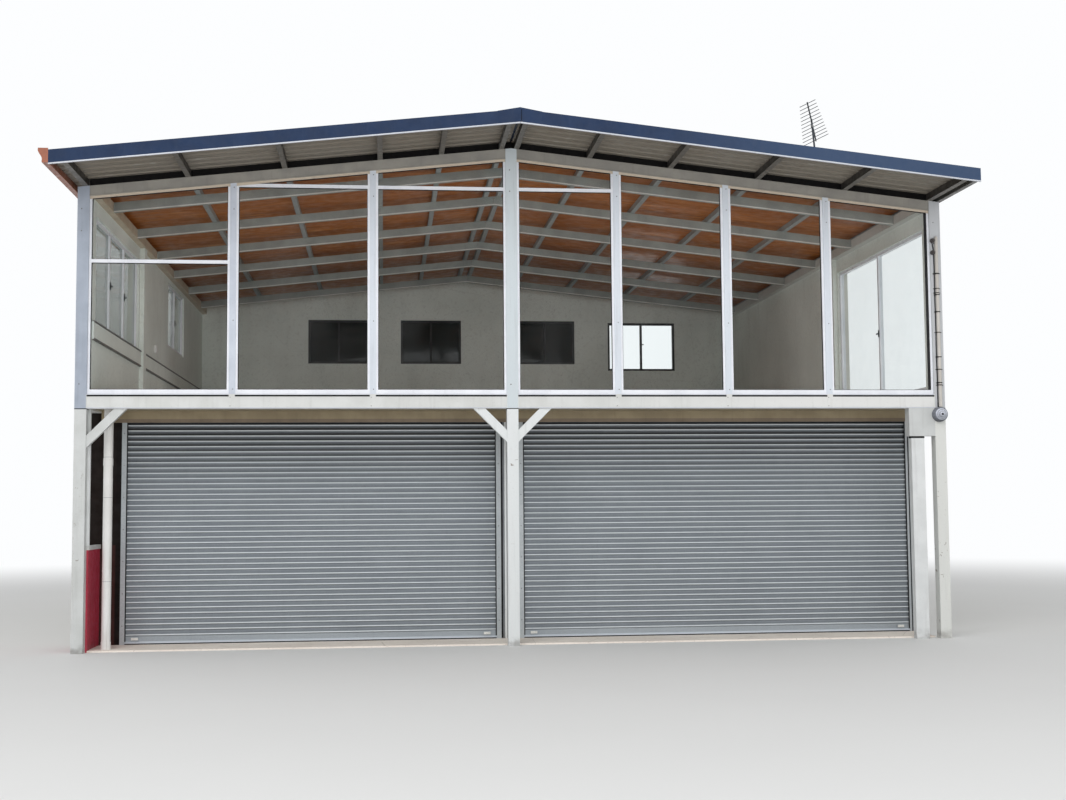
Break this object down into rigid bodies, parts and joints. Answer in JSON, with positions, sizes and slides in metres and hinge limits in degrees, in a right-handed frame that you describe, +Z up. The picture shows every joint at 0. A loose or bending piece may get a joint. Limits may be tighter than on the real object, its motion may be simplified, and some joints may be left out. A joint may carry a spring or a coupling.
{
  "type": "corner shop building",
  "caption": "Two-storey steel-framed shop with a fully glazed upper front, roller shutters set back under a porch and a low double-pitch ribbed metal roof.",
  "frame": {"origin": "Middle of the underside of the centre front post, at ground level.", "axes": "X to the right along the front as seen from the street, Y into the building, Z up."},
  "size_m": [11.0108, 12.286, 7.3243],
  "materials": {
    "post_paint": "satin paint, weathered",
    "beam_paint": "satin paint, weathered",
    "upper_post_paint": "satin paint",
    "mullion_steel": "satin paint",
    "frame_steel": "dull primer",
    "purlin_steel": "dull primer",
    "concrete": "cast, trowelled",
    "lining_paint": "dull paint",
    "shutter_zinc": "galvanised, dusty",
    "guide_metal": "galvanised, dusty",
    "ground_plaster": "rendered, dirty",
    "screen_paint": "gloss paint",
    "white_trim": "satin paint",
    "pipe_plastic": "moulded, dusty",
    "white_frame": "white coated",
    "clear_glass": "polished",
    "upper_cladding": "rendered",
    "dark_frame": "anodised dark",
    "board_wood": "varnished boards",
    "roof_metal": "ribbed sheet, weathered",
    "navy_paint": "satin paint",
    "brown_plastic": "moulded, faded",
    "grey_plastic": "moulded",
    "cream_plastic": "moulded, faded",
    "brown_glaze": "glazed",
    "antenna_metal": "mill finish, dull"
  },
  "bodies": {
    "root": {"lower_posts": "post_paint", "upper_posts": "upper_post_paint", "corner_pier": "post_paint", "knee_braces": "post_paint", "edge_beams": "beam_paint", "ground_slab": "concrete", "upper_floor": "concrete", "porch_ceiling": "lining_paint", "shutter_lintel": "lining_paint", "left_shutter": "shutter_zinc", "right_shutter": "shutter_zinc", "shutter_guides": "guide_metal", "centre_jamb": "beam_paint", "shutter_coils": "shutter_zinc", "left_ground_wall": "ground_plaster", "right_ground_wall": "ground_plaster", "rear_ground_wall": "ground_plaster", "side_screen": "screen_paint", "screen_cap": "white_trim", "downpipe": "pipe_plastic", "mullions": "mullion_steel", "head_beams": "frame_steel", "glazing_frames": "white_frame", "front_glass": "clear_glass", "left_upper_wall": "upper_cladding", "right_upper_wall": "upper_cladding", "rear_upper_wall": "upper_cladding", "side_window_frames": "white_frame", "rear_window_frames": "dark_frame", "window_glass": "clear_glass", "eave_beams": "frame_steel", "rafters": "frame_steel", "purlins": "purlin_steel", "ceiling_boards": "board_wood", "left_roof_sheet": "roof_metal", "right_roof_sheet": "roof_metal", "ridge_cap": "navy_paint", "fascias": "navy_paint", "fascia_trim": "white_trim", "left_gutter": "brown_plastic", "right_gutter": "grey_plastic", "service_conduit": "cream_plastic", "post_fittings": "brown_glaze", "round_meter": "grey_plastic", "roof_antenna": "antenna_metal"}
  },
  "joints": []
}
